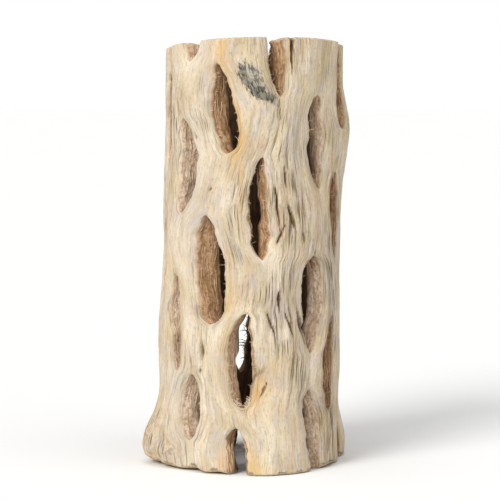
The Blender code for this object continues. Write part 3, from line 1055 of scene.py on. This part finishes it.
def wall_fibre_paths(draw, places, lengths):
    """Paths up the wall from these places, a little deeper or less deep at their upper end, that stand off
    the wall by lift sin(pi s) and dip into it at both ends."""
    grain, height, side, depth = places
    count = len(grain)
    length = draw.uniform(*lengths, count) * draw.choice((-1.0, 1.0), count)
    s = np.broadcast_to(np.linspace(0, 1, THREAD_POINTS), (count, THREAD_POINTS))
    run = lengthwise(height, length).clip(*ENDS_KEPT)
    deep = lengthwise(depth, draw.normal(0, DEPTH_CHANGE, count)).clip(*DEPTHS_KEPT)
    line = np.broadcast_to(grain[:, None], run.shape)
    sides = np.broadcast_to(side[:, None], run.shape)
    flat = [values.ravel() for values in (line, run, sides, deep)]
    on_wall = place_of(*flat).reshape(count, THREAD_POINTS, 3)
    round_stem, _ = directions(arc_of(*flat).reshape(count, THREAD_POINTS))
    off = (FIBRE_LIFT * draw.uniform(*LIFT_SHARES, count))[:, None] * np.sin(math.pi * s) - ENDS_SUNK
    return on_wall - round_stem * (sides * off)[..., None]


draw = np.random.default_rng(4)
places = drawn_places(draw, WALL_FIBRES, WINDOWS, WALL_FIBRE_DEPTHS, WALL_FIBRE_SPREAD)
paths = wall_fibre_paths(draw, places, WALL_FIBRE_LENGTHS)
placed_threads("wall_fibres", draw, paths, WALL_FIBRE_WIDTHS, plain("tan_dry_fibre", "DABF9A"))

# Torn strand ends
# Where the lowest front window meets the foot the saw tore some strands loose: splinters hang from the left
# rim of the notch. At the lower tip of the window above it, and on a rim of one window at the back, broken
# fibres cross the opening. All of them are the wood itself, and each still grows from it at one end.


class Tuft(NamedTuple):
    """Torn fibres on the wall of a window: how many on a side, the heights and depths between which they
    are rooted, and their lengths and widths."""

    window: Window
    count: int
    heights: tuple
    depths: tuple
    lengths: tuple
    widths: tuple

    def places(self, draw, side):
        """Random roots on one side of the window."""
        grain = np.full(self.count, slit_of(self.window))
        height = draw.uniform(*self.heights, self.count)
        return grain, height, np.full(self.count, side), draw.uniform(*self.depths, self.count)


FOOT_NOTCH = FRONT_WINDOWS[11]
LOW_FRONT_WINDOW = FRONT_WINDOWS[9]
LOW_BACK_WINDOW = BACK_WINDOWS[2]
SPLINTERS = Tuft(FOOT_NOTCH, 30, (0.004, 0.0105), (0.0, 0.55), (0.004, 0.0085), (0.0003, 0.0007))
FRAYED_TIP = Tuft(LOW_FRONT_WINDOW, 34, (0.0229, 0.0262), (0.0, 0.45), (0.0008, 0.002), (0.00024, 0.00042))
BACK_TUFT = Tuft(LOW_BACK_WINDOW, 22, (0.032, 0.045), (0.1, 0.9), (0.0016, 0.0036), (0.00018, 0.00034))

# How far splinters hang away from the wall, the drawn shares of that, how much of it is outwards, and how
# high above the floor they end. Then the lift of the tufts' fibres, and how bent they are at the tip
SPLINTER_AWAY = 0.0012
AWAY_SHARES = (-0.2, 1.0)
OUTWARD_SHARE = 0.5
ABOVE_FLOOR = 0.0004
TIP_LIFT = 0.5
TIP_BENT = 0.2
BACK_LIFT = 0.1


def hanging_paths(draw, places, lengths, away):
    """Paths that leave the wall and hang down beside it, away sqrt(s) from it at the share s of the way."""
    root, round_stem, outwards = roots_of(*places)
    count, side = len(root), places[2]
    s = np.linspace(0, 1, THREAD_POINTS)[None, :, None]
    length = np.minimum(draw.uniform(*lengths, count), root[:, 2] - ABOVE_FLOOR)[:, None, None]
    off = draw.uniform(*AWAY_SHARES, (2, count, 1, 1)) * away
    across = -side[:, None, None] * round_stem[:, None] * off[0]
    across += outwards[:, None] * off[1] * OUTWARD_SHARE
    return root[:, None] + across * np.sqrt(s) - UPWARDS * length * s


draw = np.random.default_rng(5)
paths = hanging_paths(draw, SPLINTERS.places(draw, -1.0), SPLINTERS.lengths, SPLINTER_AWAY)
placed_threads("foot_splinters", draw, paths, SPLINTERS.widths, plain("torn_fibre", "DDBE98"))

paths = []
for side in (-1.0, 1.0):
    places = FRAYED_TIP.places(draw, side)
    paths.append(rim_hair_paths(draw, places, FRAYED_TIP.lengths, TIP_LIFT, TIP_BENT))
placed_threads("frayed_tip", draw, np.concatenate(paths), FRAYED_TIP.widths, pale_fibre)

# These fibres are the same pale wood as the rest; the dark brown of their material is painted shade, as they
# hang in the shaded hollow
paths = rim_hair_paths(draw, BACK_TUFT.places(draw, -1.0), BACK_TUFT.lengths, BACK_LIFT)
placed_threads("back_window_fibres", draw, paths, BACK_TUFT.widths, plain("painted_shade_fibre", "5B4633"))

# The floor, the light and the camera
# A plain white floor under soft studio light from the left, as in a product picture. The camera sees the
# room as the same white, so the floor has no visible end.
FLOOR_SIZE = 8
corners = FLOOR_SIZE / 2 * np.array([[-1, -1, 0], [1, -1, 0], [1, 1, 0], [-1, 1, 0]])
floor_mesh = mesh_of("floor", corners, np.arange(4)[None])
floor_mesh.materials.append(plain("white_paper", "EFEFEF", 0.95, 0.1))
in_scene("floor", floor_mesh)

# Each light: the way it stands seen from the piece, in degrees round from the front and up, then its
# strength, how wide it is in degrees, and its tint
LIGHTS = (
    ("key_light", -40, 36, 2.35, 28, "FFFEFB"),
    ("fill_light", 62, 30, 0.42, 60, "FFFFFF"),
    ("top_light", 0, 82, 1.2, 60, "FFFFFF"),
)
for name, round_from_front, up, strength, width, tint in LIGHTS:
    lamp = bpy.data.lights.new(name, "SUN")
    lamp.energy = strength
    lamp.angle = math.radians(width)
    lamp.color = linear(tint)[:3]
    light = in_scene(name, lamp)
    turn, rise = math.radians(round_from_front), math.radians(up)
    way = Vector((math.sin(turn) * math.cos(rise), -math.cos(turn) * math.cos(rise), math.sin(rise)))
    light.rotation_euler = way.to_track_quat("Z", "Y").to_euler()

ROOM_LIGHT = 0.3
ROOM_SEEN = 1.0
world = bpy.data.worlds.new("white_room")
world.use_nodes = True
room = world.node_tree
seen = add(room, "ShaderNodeLightPath", {}).outputs["Is Camera Ray"]
brightness = add(room, "ShaderNodeMapRange", {"Value": seen, "To Min": ROOM_LIGHT, "To Max": ROOM_SEEN})
room.links.new(brightness.outputs["Result"], room.nodes["Background"].inputs["Strength"])
room.nodes["Background"].inputs["Color"].default_value = linear("FFFFFF")
bpy.context.scene.world = world
bpy.context.scene.view_settings.view_transform = "Standard"

# The photograph was taken from 760 mm away, level with the upper cut, looking slightly down
CAMERA_PLACE = Vector((AXIS_X, -0.76, 0.147))
CAMERA_AIM = Vector((0.0014, 0.0, 0.0745))
FOCAL_LENGTH = 156
camera = in_scene("camera", bpy.data.cameras.new("camera"))
camera.data.lens = FOCAL_LENGTH
camera.location = CAMERA_PLACE
camera.rotation_euler = (CAMERA_AIM - CAMERA_PLACE).to_track_quat("-Z", "Y").to_euler()
bpy.context.scene.camera = camera
